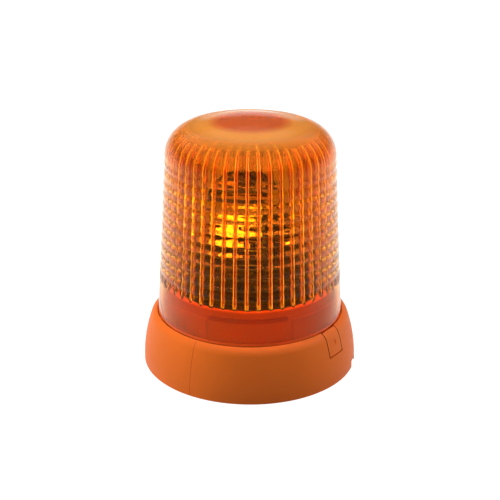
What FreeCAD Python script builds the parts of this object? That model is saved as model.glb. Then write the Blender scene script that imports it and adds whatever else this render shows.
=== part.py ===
import FreeCAD, Part

import math
import os

from FreeCAD import Vector

# Rotating beacon, all sizes in millimetres, +Z up. The origin is the centre of the face it stands on.
# An azimuth is an angle about Z in degrees, counted from -Y towards +X.

# ---- gear train: it sets how wide the beacon is ----
RING_TEETH = 40
SMALL_TEETH = 12
IDLER_TEETH = 30
RING_MODULE = 1.5
MOTOR_MODULE = 1.2
PRESSURE_ANGLE = 20.0         # degrees
ADDENDUM = 0.8                # stub teeth, in modules
DEDENDUM = 1.0
BACKLASH = 0.12               # taken off each gear along its pitch circle
MOTOR_SWING = 71.5            # degrees between the motor and the middle, seen from the idler
RING_CENTRES = (RING_TEETH + SMALL_TEETH) * RING_MODULE / 2
MOTOR_CENTRES = (IDLER_TEETH + SMALL_TEETH) * MOTOR_MODULE / 2
IDLER_TIP_RADIUS = (IDLER_TEETH / 2 + ADDENDUM) * MOTOR_MODULE

# ---- widths, from the chassis outwards ----
IDLER_EDGE_GAP = 1.44         # from the teeth of the idler to the edge of the chassis
CHASSIS_CLEARANCE = 3.8
COLLAR_WALL = 2.6
COLLAR_CLEARANCE = 2.8        # between the collar and the inside of the lens
LENS_WALL = 3.0
LENS_SIDE_GAP = 0.8
RIM_WIDTH = 11.0              # of the housing outside the groove
CHASSIS_RADIUS = RING_CENTRES + IDLER_TIP_RADIUS + IDLER_EDGE_GAP
COLLAR_BORE = CHASSIS_RADIUS + CHASSIS_CLEARANCE
COLLAR_RADIUS = COLLAR_BORE + COLLAR_WALL
LENS_FOOT_RADIUS = COLLAR_RADIUS + COLLAR_CLEARANCE + LENS_WALL
GROOVE_RADIUS = LENS_FOOT_RADIUS + LENS_SIDE_GAP
BASE_RADIUS = GROOVE_RADIUS + RIM_WIDTH

# ---- base housing ----
BASE_HEIGHT = 41.9
BASE_SHOULDER = 9.0           # rounding between the wall and the rim
BASE_LEAN = 5.59              # how far the bulged wall leans in before the rounding starts
GROOVE_DEPTH = 15.9
GROOVE_FLOOR_THICKNESS = 6.0
COLLAR_RISE = 24.1            # above the rim
TUB_FLOOR = 8.0
TUB_FLOOR_THICKNESS = 3.0
SKIRT_FOOT_WALL = 7.4         # from the foot of the wall in to the channel on the underside
SKIRT_TOP_WALL = 5.9
RIB_COUNT = 12
RIB_THICKNESS = 2.0
GASKET_INSET = 2.4
GASKET_THICKNESS = 2.0
DRAIN_AZIMUTH = 77.5
DRAIN_WIDTH = 14.0
DRAIN_HEIGHT = 5.0
DRAIN_EDGE = 2.0              # left between the notch and the collar
WALL_RISE = BASE_HEIGHT - BASE_SHOULDER
BASE_WALL_CURVE = BASE_SHOULDER + (WALL_RISE ** 2 + BASE_LEAN ** 2) / (2 * BASE_LEAN)
GROOVE_FLOOR = BASE_HEIGHT - GROOVE_DEPTH
CHANNEL_TOP = GROOVE_FLOOR - GROOVE_FLOOR_THICKNESS
COLLAR_TOP = BASE_HEIGHT + COLLAR_RISE
TUB_UNDERSIDE = TUB_FLOOR - TUB_FLOOR_THICKNESS
SKIRT_FOOT_RADIUS = BASE_RADIUS - SKIRT_FOOT_WALL
SKIRT_TOP_RADIUS = BASE_RADIUS - SKIRT_TOP_WALL
GASKET_RADIUS = BASE_RADIUS - GASKET_INSET

# ---- bolting down ----
BOLTS = 3
BOLT_AZIMUTH = 60.0
BOLT_INSET = 18.4             # from the foot of the wall to the bolt circle
BOLT_PLACE = BASE_RADIUS - BOLT_INSET
BOSS_RADIUS = 8.0
INSERT_RADIUS = 5.5
INSERT_BORE = 6.8             # tapping size of M8
INSERT_LENGTH = 15.0
CABLE_INSET = 18.2            # from the bore of the collar to the cable entry
CABLE_BORE = 7.0
GROMMET_RADIUS = 6.0
GROMMET_LENGTH = 6.0

# ---- lens and its bayonet ----
LENS_TAPER = 7.54             # how much narrower the lens is under its rounded corner, on the radius
LENS_CORNER = 22.4
LENS_SHOULDER_HEIGHT = 165.3  # where the wall turns into the corner
LENS_CROWN_RISE = 4.0
LENS_CROWN_RADIUS = LENS_FOOT_RADIUS - LENS_TAPER
SCALLOPS = 10                 # shallow rings round the outside, up to the corner
SCALLOP_PITCH = 8.2
SCALLOP_DEPTH = 0.4
LENS_RIBS = 48
LENS_RIB_AZIMUTH = -1.9
LENS_RIB_WIDTH = 2.3
LENS_RIB_HEIGHT = 3.4
LENS_RIB_START = 68.5
LENS_RIB_END = 74.0           # degrees round the corner
LENS_RIB_SLANT = 12.0         # degrees of the corner over which a rib ends
SEAL_THICKNESS = 2.4
BAYONETS = 3
PAD_RISE = 1.3                # how far a bayonet pad stands out of the collar
PAD_DROP = 8.0                # from the top of the collar
PAD_HALF_WIDTH = 32.0         # degrees
PAD_AZIMUTH = 60.0
LUG_FIRST_AZIMUTH = -26.5
LUG_WIDTH = 14.0              # degrees
LUG_LIFT = 2.1                # from the edge of the foot
LUG_HEIGHT = 4.0
LUG_CLEARANCE = 0.7           # above a lug
LUG_BACK_GAP = 0.4            # behind a lug
LOCK_TURN = 20.0              # degrees from the entry gap to the locked place
RECESS_DEPTH = 0.6
RECESS_HEIGHT = 5.0
RECESS_LIFT = 1.0             # above the pads
RECESS_HALF_WIDTH = 24.0      # degrees
MARK_RISE = 0.6               # of the marks on one pad, which show through the lens
MARK_WIDTH = 0.8
MARK_FIRST_AZIMUTH = -52.5
MARKS = 8
MARK_PITCH = 2.0              # degrees
MARK_LIFT = 5.0               # from the lower edge of the pad
MARK_HEIGHT = 6.8
ALIGNMENT_AZIMUTH = -34.9
ALIGNMENT_WIDTH = 1.6
ALIGNMENT_HEIGHT = 9.4
SEAL_CLEARANCE = 0.2
RUNNING_GAP = 0.05
LENS_SKIRT_BOTTOM = GROOVE_FLOOR + SEAL_THICKNESS
LUG_BOTTOM = LENS_SKIRT_BOTTOM + LUG_LIFT
PAD_BOTTOM = LUG_BOTTOM + LUG_HEIGHT + LUG_CLEARANCE
PAD_TOP = COLLAR_TOP - PAD_DROP
MARK_BOTTOM = PAD_BOTTOM + MARK_LIFT

# ---- lock tab ----
TAB_AZIMUTH = 54.3
TAB_WIDTH = 16.5
TAB_SIDE_GAP = 0.7
TAB_HEIGHT = 18.4
TAB_BOTTOM_GAP = 1.2
TAB_PIVOT_INSET = 2.1         # from the groove out to the pivot
TAB_PIVOT_DEPTH = 5.4         # from the top of the housing
TAB_WAIST = 1.0               # thickness inside the pivot
TAB_BACK_GAP = 0.4
TAB_INNER_GAP = 0.2           # between the upper end of the tab and the groove
TAB_PIN_RADIUS = 1.0
TAB_PIN_LENGTH = 22.0
TAB_DIMPLE_RADIUS = 2.0
TAB_DIMPLE_DEPTH = 0.4
TAB_DIMPLE_HEIGHT = 32.5
WINDOW_WALL = 2.0             # left between the groove and the window
WINDOW_OPENING = 1.5          # from the tooth up to the edge of that wall
TOOTH_LIFT = 3.5              # from the floor of the groove
TOOTH_WIDTH = 6.0
TOOTH_HEIGHT = 3.0
TOOTH_SHOULDER = 0.5          # where the tab thickens, above the tooth
TOOTH_GAP = 0.3               # between the resting tooth and the lens
TOOTH_BOTTOM_GAP = 0.6
NOTCH_CLEARANCE = 1.0         # at each side of the tooth
TAB_BOTTOM = BASE_HEIGHT - TAB_HEIGHT
TAB_PIVOT_RADIUS = GROOVE_RADIUS + TAB_PIVOT_INSET
TAB_PIVOT_HEIGHT = BASE_HEIGHT - TAB_PIVOT_DEPTH
TOOTH_BOTTOM = GROOVE_FLOOR + TOOTH_LIFT
TOOTH_TOP = TOOTH_BOTTOM + TOOTH_HEIGHT
WINDOW_LINTEL = TOOTH_TOP + WINDOW_OPENING

# ---- chassis ----
POSTS = 3
POST_INSET = 7.4              # from the edge of the chassis
POST_PLACE = CHASSIS_RADIUS - POST_INSET
POST_RADIUS = 4.5
DAMPER_RADIUS = 5.5
DAMPER_HEIGHT = 4.0
CHASSIS_BOTTOM = 50.0
CHASSIS_THICKNESS = 2.5
SCREW_RADIUS = 1.65
SCREW_HEAD_RADIUS = 3.5
SCREW_HEAD_HEIGHT = 2.4
SCREW_GRIP = 8.0              # length of a screw in the piece that it holds to
SMALL_HEAD_EDGE = 1.0         # of a small screw's head, beyond its shank
CHASSIS_TOP = CHASSIS_BOTTOM + CHASSIS_THICKNESS
POST_TOP = CHASSIS_BOTTOM - DAMPER_HEIGHT

# ---- heights and fits of the gear train ----
IDLER_LIFT = 2.0              # above the chassis
IDLER_WIDTH = 4.0
RING_LIFT = 1.5               # above the large wheel of the idler
RING_WIDTH = 5.0
PINION_OVERLAP = 0.8          # how far a pinion is longer than its wheel is wide
IDLER_PIN_RADIUS = 2.5
CLIP_THICKNESS = 0.6
CLIP_DEPTH = 0.5              # of the groove that holds it
CLIP_MOUTH = 1.4              # width of the open side, as a share of its inner radius
MOTOR_RADIUS = 14.0
MOTOR_LENGTH = 34.0
MOTOR_BOSS_RADIUS = 4.0
MOTOR_SHAFT_RADIUS = 1.15
MOTOR_SCREW_SPACING = 19.0
IDLER_BOTTOM = CHASSIS_TOP + IDLER_LIFT
IDLER_MIDDLE = IDLER_BOTTOM + IDLER_WIDTH
RING_BOTTOM = IDLER_MIDDLE + RING_LIFT
IDLER_TOP = RING_BOTTOM + RING_WIDTH + PINION_OVERLAP
MOTOR_PINION_TOP = IDLER_MIDDLE + PINION_OVERLAP

# ---- column, turntable and cover ----
COLUMN_RADIUS = 7.0
COLUMN_BORE = 4.0
COLUMN_REACH = 2.0            # above the drum
COLUMN_FLANGE_RADIUS = 15.0
COLUMN_FLANGE = 2.5
COLUMN_SCREW_CIRCLE = 25.0
COLUMN_SCREW_RADIUS = 1.1
COLUMN_SCREW_EDGE = 0.8       # of its head, beyond the shank
WASHER_THICKNESS = 1.0
WASHER_OVERHANG = 0.3
BUSH_RADIUS = 10.0
HUB_RADIUS = 13.0
CIRCLIP_THICKNESS = 1.0
CIRCLIP_RADIUS = 9.5
CIRCLIP_DEPTH = 1.0
CIRCLIP_CLEARANCE = 1.0
COVER_THICKNESS = 1.6
COVER_LIFT = 3.2              # above the idler
COVER_HOLE_GAP = 1.5
TURNTABLE_RADIUS = 48.0
TURNTABLE_GAP = 2.0           # above the cover
TURNTABLE_THICKNESS = 3.0
DRUM_RADIUS = 28.0
DRUM_HEIGHT = 6.0
DRUM_DRAFT = 2.0
DRUM_WALL = 2.0
COVER_TOP = IDLER_TOP + COVER_LIFT
TURNTABLE_BOTTOM = COVER_TOP + TURNTABLE_GAP
TURNTABLE_TOP = TURNTABLE_BOTTOM + TURNTABLE_THICKNESS
DRUM_TOP = TURNTABLE_TOP + DRUM_HEIGHT
HUB_TOP = DRUM_TOP - DRUM_WALL
COLUMN_TOP = DRUM_TOP + COLUMN_REACH

# ---- reflector and lamp ----
FOCAL_LENGTH = 16.0
REFLECTOR_RADIUS = 35.0
REFLECTOR_WALL = 1.6
REFLECTOR_AZIMUTH = -20.0
REFLECTOR_LIFT = 4.0          # from the drum to the inside of the bowl
REFLECTOR_PAD_RADIUS = 8.0
REFLECTOR_PAD = 3.2           # from the inside of the bowl to the back of its pad
LAMP_WINDOW_RADIUS = 12.0
BRACKET_WIDTH = 20.0
BRACKET_THICKNESS = 2.5
BRACKET_SCREW_SPACING = 9.0
WEIGHT_LENGTH = 30.0
WEIGHT_DEPTH = 9.0
WEIGHT_HEIGHT = 6.0
WEIGHT_INSET = 6.5            # from the edge of the turntable
SOCKET_RADIUS = 9.0
SOCKET_HEIGHT = 10.0
BULB_CAP_RADIUS = 4.5
BULB_CAP_DEPTH = 6.0
BULB_FLANGE_RADIUS = 7.5
BULB_FLANGE = 1.5
BULB_GLASS_RADIUS = 5.2
BULB_REACH = 9.0              # beyond the focus
FOCUS_HEIGHT = DRUM_TOP + REFLECTOR_LIFT + REFLECTOR_RADIUS
SOCKET_TOP = COLUMN_TOP + SOCKET_HEIGHT
BULB_TOP = FOCUS_HEIGHT + BULB_REACH

# ---- wiring ----
BLOCK_LENGTH = 26.0
BLOCK_WIDTH = 12.0
BLOCK_HEIGHT = 12.0
BLOCK_RADIUS = 26.0
TERMINALS = 3
TERMINAL_HEAD_EDGE = 0.6
CHOKE_RADIUS = 5.0
CHOKE_LENGTH = 18.0
CHOKE_AZIMUTH = -60.0

ORIGIN = Vector(0, 0, 0)
UP = Vector(0, 0, 1)
OVERSHOOT = 1.0               # how far a cutting tool runs past the face that it cuts
IDLER_PLACE = Vector(0, RING_CENTRES, 0)
MOTOR_PLACE = IDLER_PLACE + Vector(
    -MOTOR_CENTRES * math.sin(math.radians(MOTOR_SWING)),
    -MOTOR_CENTRES * math.cos(math.radians(MOTOR_SWING)),
    0,
)
BUSH_BOTTOM = CHASSIS_TOP + COLUMN_FLANGE + WASHER_THICKNESS + RUNNING_GAP


# ---- helpers ----
def polar(azimuth, radius, z=0.0):
    """Point at an azimuth, a radius from Z and a height."""
    angle = math.radians(azimuth)
    return Vector(radius * math.sin(angle), -radius * math.cos(angle), z)


def turned(shape, azimuth):
    """The shape, built at azimuth 0, carried round Z to an azimuth."""
    copy = shape.copy()
    copy.rotate(ORIGIN, UP, azimuth)
    return copy


def moved(shape, place):
    copy = shape.copy()
    copy.translate(place)
    return copy


def section(*steps):
    """Face in the plane of azimuth 0. A step is (r, z) for a line, or ((r, z), (r, z)) for an arc
    through the first point to the second."""
    points = [step if not isinstance(step[0], tuple) else step[1] for step in steps]
    edges = []
    for index, step in enumerate(steps):
        start = polar(0, *points[index - 1])
        end = polar(0, *points[index])
        if isinstance(step[0], tuple):
            edges.append(Part.Arc(start, polar(0, *step[0]), end).toShape())
        else:
            edges.append(Part.LineSegment(start, end).toShape())
    return Part.Face(Part.Wire(edges))


def revolved(*steps):
    return section(*steps).revolve(ORIGIN, UP, 360)


def tube(outer, inner, bottom, top):
    return revolved((inner, bottom), (outer, bottom), (outer, top), (inner, top))


def cylinder(radius, bottom, top, place=ORIGIN):
    return Part.makeCylinder(radius, top - bottom, place + Vector(0, 0, bottom))


def sector(inner, outer, bottom, top, start, width):
    """Piece of a ring from one azimuth, width degrees onwards."""
    face = section((inner, bottom), (outer, bottom), (outer, top), (inner, top))
    return turned(face.revolve(ORIGIN, UP, width), start)


def radial_slab(width, *steps):
    """A section made into a slab of the given width, centred on azimuth 0."""
    slab = section(*steps).extrude(Vector(width, 0, 0))
    slab.translate(Vector(-width / 2, 0, 0))
    return slab


def around(shape, count, first=0.0):
    """Evenly spaced copies round Z."""
    return [turned(shape, first + k * 360 / count) for k in range(count)]


def hexagon_screw(radius, head_radius, head_height, length):
    """Hexagon-head screw whose seat is at z = 0, pointing down."""
    corners = [Vector(head_radius * math.cos(a), head_radius * math.sin(a), 0)
               for a in (math.radians(60 * k) for k in range(7))]
    head = Part.Face(Part.makePolygon(corners)).extrude(Vector(0, 0, head_height))
    return head.fuse(cylinder(radius, -length, 0)).removeSplitter()


# ---- base housing ----
def shoulder():
    """Centre of the shoulder arc and the angle at which the bulged wall meets it."""
    angle = math.asin(WALL_RISE / (BASE_WALL_CURVE - BASE_SHOULDER))
    centre = BASE_RADIUS - BASE_WALL_CURVE + (BASE_WALL_CURVE - BASE_SHOULDER) * math.cos(angle)
    return centre, WALL_RISE, angle


def wall_point(angle):
    radius = BASE_RADIUS - BASE_WALL_CURVE + BASE_WALL_CURVE * math.cos(angle)
    return radius, BASE_WALL_CURVE * math.sin(angle)


def shoulder_point(angle):
    centre_radius, centre_height, _ = shoulder()
    return centre_radius + BASE_SHOULDER * math.cos(angle), centre_height + BASE_SHOULDER * math.sin(angle)


def outer_wall_steps():
    """The bulged wall and the shoulder, from the foot up to the inner edge of the rim."""
    centre_radius, _, meeting = shoulder()
    rim = math.acos((GROOVE_RADIUS - centre_radius) / BASE_SHOULDER)
    return (
        (wall_point(meeting / 2), wall_point(meeting)),
        (shoulder_point((meeting + rim) / 2), shoulder_point(rim)),
    )


def base_body():
    return revolved(
        (BASE_RADIUS, 0),
        *outer_wall_steps(),
        (GROOVE_RADIUS, GROOVE_FLOOR),
        (COLLAR_RADIUS, GROOVE_FLOOR),
        (COLLAR_RADIUS, COLLAR_TOP),
        (COLLAR_BORE, COLLAR_TOP),
        (COLLAR_BORE, TUB_FLOOR),
        (0, TUB_FLOOR),
        (0, TUB_UNDERSIDE),
        (COLLAR_RADIUS, TUB_UNDERSIDE),
        (COLLAR_RADIUS, CHANNEL_TOP),
        (SKIRT_TOP_RADIUS, CHANNEL_TOP),
        (SKIRT_FOOT_RADIUS, GASKET_THICKNESS),
        (GASKET_RADIUS, GASKET_THICKNESS),
        (GASKET_RADIUS, 0),
    )


def bayonet_pads():
    """Raised pads on the collar that the lugs of the lens turn under."""
    pad = sector(COLLAR_RADIUS - COLLAR_WALL / 2, COLLAR_RADIUS + PAD_RISE, PAD_BOTTOM, PAD_TOP,
                 PAD_AZIMUTH - PAD_HALF_WIDTH, 2 * PAD_HALF_WIDTH)
    return around(pad, BAYONETS)


def collar_marks():
    """Row of fine ribs and one broader bar on a pad: they show how far the lens has turned."""
    face = COLLAR_RADIUS + PAD_RISE

    inner, outer = face - MARK_RISE, face + MARK_RISE

    def mark(azimuth, width, height):
        top = MARK_BOTTOM + height
        bar = radial_slab(width, (inner, MARK_BOTTOM), (outer, MARK_BOTTOM), (outer, top), (inner, top))
        return turned(bar, azimuth)

    marks = [mark(MARK_FIRST_AZIMUTH + k * MARK_PITCH, MARK_WIDTH, MARK_HEIGHT) for k in range(MARKS)]
    return marks + [mark(ALIGNMENT_AZIMUTH, ALIGNMENT_WIDTH, ALIGNMENT_HEIGHT)]


def collar_recesses():
    """Shallow recess near the top of the collar in each entry gap."""
    bottom = PAD_TOP + RECESS_LIFT
    recess = sector(COLLAR_RADIUS - RECESS_DEPTH, COLLAR_RADIUS + OVERSHOOT, bottom, bottom + RECESS_HEIGHT,
                    -RECESS_HALF_WIDTH, 2 * RECESS_HALF_WIDTH)
    return around(recess, BAYONETS)


def underside_ribs():
    rib = radial_slab(
        RIB_THICKNESS,
        (COLLAR_RADIUS - COLLAR_WALL / 2, TUB_UNDERSIDE),
        (SKIRT_FOOT_RADIUS + OVERSHOOT, TUB_UNDERSIDE),
        (SKIRT_TOP_RADIUS + OVERSHOOT, CHANNEL_TOP + OVERSHOOT),
        (COLLAR_RADIUS - COLLAR_WALL / 2, CHANNEL_TOP + OVERSHOOT),
    )
    return around(rib, RIB_COUNT, 180 / RIB_COUNT)


def bolt_bosses():
    boss = cylinder(BOSS_RADIUS, 0, CHANNEL_TOP + OVERSHOOT, polar(0, BOLT_PLACE))
    return around(boss, BOLTS, BOLT_AZIMUTH)


def insert_bores():
    bore = cylinder(INSERT_RADIUS, -OVERSHOOT, INSERT_LENGTH + RUNNING_GAP, polar(0, BOLT_PLACE))
    return around(bore, BOLTS, BOLT_AZIMUTH)


def chassis_posts():
    post = cylinder(POST_RADIUS, TUB_FLOOR - OVERSHOOT, POST_TOP, polar(0, POST_PLACE))
    return around(post, POSTS)


def post_bores():
    bore = cylinder(SCREW_RADIUS, POST_TOP - SCREW_GRIP, POST_TOP + OVERSHOOT, polar(0, POST_PLACE))
    return around(bore, POSTS)


def drain_notch():
    depth = BASE_RADIUS - COLLAR_RADIUS
    notch = Part.makeBox(DRAIN_WIDTH, depth, DRAIN_HEIGHT + OVERSHOOT,
                         Vector(-DRAIN_WIDTH / 2, -BASE_RADIUS - DRAIN_EDGE, -OVERSHOOT))
    return turned(notch, DRAIN_AZIMUTH)


def cable_place():
    return polar(DRAIN_AZIMUTH, COLLAR_BORE - CABLE_INSET)


def tab_window():
    """Opening for the lock tab: down to its back wall, through it above the pivot and for the tooth."""
    beyond, over = BASE_RADIUS + OVERSHOOT, BASE_HEIGHT + OVERSHOOT
    floor = TAB_BOTTOM - TAB_BOTTOM_GAP
    groove, back = GROOVE_RADIUS - OVERSHOOT, GROOVE_RADIUS + WINDOW_WALL
    window = radial_slab(
        TAB_WIDTH + 2 * TAB_SIDE_GAP,
        (beyond, floor), (beyond, over), (groove, over), (groove, WINDOW_LINTEL), (back, WINDOW_LINTEL),
        (back, floor),
    )
    sill = TOOTH_BOTTOM - TOOTH_BOTTOM_GAP
    slot = radial_slab(
        TOOTH_WIDTH + 2 * TAB_SIDE_GAP,
        (groove, sill), (back + OVERSHOOT, sill), (back + OVERSHOOT, WINDOW_LINTEL + OVERSHOOT),
        (groove, WINDOW_LINTEL + OVERSHOOT),
    )
    return turned(window.fuse(slot), TAB_AZIMUTH)


def tab_pin(radius, length):
    middle = polar(0, TAB_PIVOT_RADIUS, TAB_PIVOT_HEIGHT)
    pin = Part.makeCylinder(radius, length, middle - Vector(length / 2, 0, 0), Vector(1, 0, 0))
    return turned(pin, TAB_AZIMUTH)


def base_housing():
    added = bayonet_pads() + collar_marks() + underside_ribs() + bolt_bosses() + chassis_posts()
    solid = base_body().fuse(added)
    cuts = collar_recesses() + insert_bores() + post_bores()
    cuts += [drain_notch(), tab_window(), tab_pin(TAB_PIN_RADIUS, TAB_PIN_LENGTH)]
    cuts += [cylinder(GROMMET_RADIUS, TUB_UNDERSIDE - OVERSHOOT, TUB_FLOOR + OVERSHOOT, cable_place())]
    return solid.cut(cuts).removeSplitter()


def base_gasket():
    return tube(GASKET_RADIUS, SKIRT_FOOT_RADIUS, 0, GASKET_THICKNESS).cut(drain_notch())


def mounting_inserts():
    place = polar(0, BOLT_PLACE)
    bore = cylinder(INSERT_BORE / 2, -OVERSHOOT, INSERT_LENGTH + OVERSHOOT, place)
    insert = cylinder(INSERT_RADIUS, 0, INSERT_LENGTH, place).cut(bore)
    return Part.makeCompound(around(insert, BOLTS, BOLT_AZIMUTH))


def cable_grommet():
    rise = (GROMMET_LENGTH - TUB_FLOOR_THICKNESS) / 2
    bottom, top = TUB_UNDERSIDE - rise, TUB_FLOOR + rise
    outside = cylinder(GROMMET_RADIUS, bottom, top, cable_place())
    return outside.cut(cylinder(CABLE_BORE / 2, bottom - OVERSHOOT, top + OVERSHOOT, cable_place()))


def lock_tab():
    """Rocking tab whose outer face carries on the wall of the housing; its tooth locks the lens."""
    beyond, over = BASE_RADIUS + OVERSHOOT, BASE_HEIGHT + OVERSHOOT
    inner = GROOVE_RADIUS + TAB_INNER_GAP
    lintel = WINDOW_LINTEL + TAB_BACK_GAP
    waist = TAB_PIVOT_RADIUS + TAB_WAIST
    form = revolved((BASE_RADIUS, 0), *outer_wall_steps(), (0, BASE_HEIGHT), (0, 0))
    slab = radial_slab(
        TAB_WIDTH,
        (beyond, TAB_BOTTOM), (beyond, over), (inner, over), (inner, lintel), (waist, lintel),
        (waist, TOOTH_TOP + TOOTH_SHOULDER), (SKIRT_TOP_RADIUS + TAB_BACK_GAP, TAB_BOTTOM),
    )
    tip = LENS_FOOT_RADIUS + TOOTH_GAP
    tooth = radial_slab(
        TOOTH_WIDTH,
        (tip, TOOTH_BOTTOM), (SKIRT_TOP_RADIUS, TOOTH_BOTTOM), (waist + TAB_WAIST, TOOTH_TOP),
        (tip, TOOTH_TOP),
    )
    body = turned(slab, TAB_AZIMUTH).common(form).fuse(turned(tooth, TAB_AZIMUTH))
    return body.cut([tab_pin(TAB_PIN_RADIUS + RUNNING_GAP, TAB_PIN_LENGTH), tab_dimple()]).removeSplitter()


def tab_dimple():
    """Shallow round dimple that shows where to press."""
    angle = math.asin(TAB_DIMPLE_HEIGHT / BASE_WALL_CURVE)
    radius, height = wall_point(angle)
    outward = polar(TAB_AZIMUTH, math.cos(angle), math.sin(angle))
    face = polar(TAB_AZIMUTH, radius, height)
    bottom = face - outward * TAB_DIMPLE_DEPTH
    return Part.makeCylinder(TAB_DIMPLE_RADIUS, 2 * TAB_DIMPLE_DEPTH, bottom, outward)


# ---- lens ----
def lens_radius(z):
    """Outer radius of the slightly tapered wall."""
    share = (z - BASE_HEIGHT) / (LENS_SHOULDER_HEIGHT - BASE_HEIGHT)
    return LENS_FOOT_RADIUS + (LENS_CROWN_RADIUS - LENS_FOOT_RADIUS) * share


def scallops():
    """Rings that swell out to the wall between grooves, from the lowest groove up to the corner."""
    steps = []
    for k in range(SCALLOPS + 1):
        groove = LENS_SHOULDER_HEIGHT - (SCALLOPS - k) * SCALLOP_PITCH
        swell = groove - SCALLOP_PITCH / 2
        end = (lens_radius(groove) - SCALLOP_DEPTH, groove)
        steps.append(((lens_radius(swell), swell), end) if k else end)
    return steps


def lens_profile(inset, bottom, wall=()):
    """Wall, rounded corner and crowned top of the lens, from the outer edge of its foot to the axis."""
    corner = LENS_CORNER - inset
    centre_radius = LENS_CROWN_RADIUS - LENS_CORNER
    diagonal = corner * math.sqrt(0.5)
    top = LENS_SHOULDER_HEIGHT + corner
    apex = top + LENS_CROWN_RISE
    crown_sphere = (centre_radius ** 2 + LENS_CROWN_RISE ** 2) / (2 * LENS_CROWN_RISE)
    half_way = math.asin(centre_radius / crown_sphere) / 2
    return (
        (LENS_FOOT_RADIUS - inset, bottom),
        (LENS_FOOT_RADIUS - inset, BASE_HEIGHT),
        *wall,
        (centre_radius + corner, LENS_SHOULDER_HEIGHT),
        ((centre_radius + diagonal, LENS_SHOULDER_HEIGHT + diagonal), (centre_radius, top)),
        ((crown_sphere * math.sin(half_way), apex - crown_sphere * (1 - math.cos(half_way))), (0, apex)),
    )


def lens_lugs():
    """Lugs inside the foot that turn under the bayonet pads."""
    inner, outer = COLLAR_RADIUS + LUG_BACK_GAP, LENS_FOOT_RADIUS - LENS_WALL / 2
    lug = sector(inner, outer, LUG_BOTTOM, LUG_BOTTOM + LUG_HEIGHT, LUG_FIRST_AZIMUTH, LUG_WIDTH)
    return around(lug, BAYONETS)


def lens_notches():
    """Notches in the edge of the foot for the tooth of the lock tab, in the open and the locked place."""
    inner, outer = LENS_FOOT_RADIUS - LENS_WALL - OVERSHOOT, LENS_FOOT_RADIUS + OVERSHOOT
    under = LENS_SKIRT_BOTTOM - OVERSHOOT
    notch = radial_slab(TOOTH_WIDTH + 2 * NOTCH_CLEARANCE,
                        (inner, under), (outer, under), (outer, WINDOW_LINTEL), (inner, WINDOW_LINTEL))
    return [turned(notch, azimuth) for azimuth in (TAB_AZIMUTH, TAB_AZIMUTH + LOCK_TURN)]


def corner_point(inset, angle):
    """Point of the rounded corner of the lens, an angle in degrees up from the wall."""
    turn = math.radians(angle)
    arc = LENS_CORNER - inset
    centre = LENS_CROWN_RADIUS - LENS_CORNER
    return centre + arc * math.cos(turn), LENS_SHOULDER_HEIGHT + arc * math.sin(turn)


def lens_ribs():
    """Ribs inside the lens: up the wall from a slanted foot, round the corner, ending short of the crown."""
    rooted = LENS_WALL / 2
    crest = LENS_WALL + LENS_RIB_HEIGHT
    crest_start = LENS_RIB_START + LENS_RIB_HEIGHT
    crest_end = LENS_RIB_END - LENS_RIB_SLANT
    rib = radial_slab(
        LENS_RIB_WIDTH,
        (lens_radius(LENS_RIB_START) - rooted, LENS_RIB_START),
        corner_point(rooted, 0),
        (corner_point(rooted, LENS_RIB_END / 2), corner_point(rooted, LENS_RIB_END)),
        corner_point(crest, crest_end),
        (corner_point(crest, crest_end / 2), corner_point(crest, 0)),
        (lens_radius(crest_start) - crest, crest_start),
    )
    return around(rib, LENS_RIBS, LENS_RIB_AZIMUTH)


def lens_dome():
    outside = revolved(*lens_profile(0, LENS_SKIRT_BOTTOM, scallops()), (0, LENS_SKIRT_BOTTOM))
    under = LENS_SKIRT_BOTTOM - OVERSHOOT
    inside = revolved(*lens_profile(LENS_WALL, under), (0, under))
    return outside.cut(inside).fuse(lens_lugs() + lens_ribs()).cut(lens_notches())


def lens_seal():
    return tube(LENS_FOOT_RADIUS - SEAL_CLEARANCE, LENS_FOOT_RADIUS - LENS_WALL + SEAL_CLEARANCE,
                GROOVE_FLOOR + RUNNING_GAP, LENS_SKIRT_BOTTOM - RUNNING_GAP)


# ---- gears ----
def involute_point(base_radius, radius):
    """Angle by which the involute has turned away from its root at a radius."""
    angle = math.acos(min(1.0, base_radius / radius))
    return math.tan(angle) - angle


def gear(teeth, module, bottom, top, bore, phase):
    """Spur gear with involute flanks, centred on Z. One tooth points along phase, in degrees from +X."""
    pitch = teeth * module / 2
    base = pitch * math.cos(math.radians(PRESSURE_ANGLE))
    root = pitch - DEDENDUM * module
    tip = pitch + ADDENDUM * module
    start = max(root, base)
    half_tooth = (math.pi * module / 2 - BACKLASH) / 2 / pitch + involute_point(base, pitch)
    middle = (start + tip) / 2

    def at(radius, angle):
        return Vector(radius * math.cos(angle), radius * math.sin(angle), bottom)

    edges = []
    previous = None
    first = None
    for tooth in range(teeth):
        centre = math.radians(phase) + 2 * math.pi * tooth / teeth
        flanks = []
        for side in (-1, 1):
            radii = (root, start, middle, tip)
            angles = [centre + side * (half_tooth - involute_point(base, max(r, base))) for r in radii]
            flanks.append([at(r, a) for r, a in zip(radii, angles)])
        rising, falling = flanks
        falling = falling[::-1]
        if previous is None:
            first = rising[0]
        else:
            edges.append(Part.makeLine(previous, rising[0]))
        if start > root:
            edges.append(Part.makeLine(rising[0], rising[1]))
        edges.append(Part.Arc(rising[1], rising[2], rising[3]).toShape())
        edges.append(Part.makeLine(rising[3], falling[0]))
        edges.append(Part.Arc(falling[0], falling[1], falling[2]).toShape())
        if start > root:
            edges.append(Part.makeLine(falling[2], falling[3]))
        previous = falling[3]
    edges.append(Part.makeLine(previous, first))
    blank = Part.Face(Part.Wire(edges)).extrude(Vector(0, 0, top - bottom))
    return blank.cut(cylinder(bore, bottom - OVERSHOOT, top + OVERSHOOT))


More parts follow.
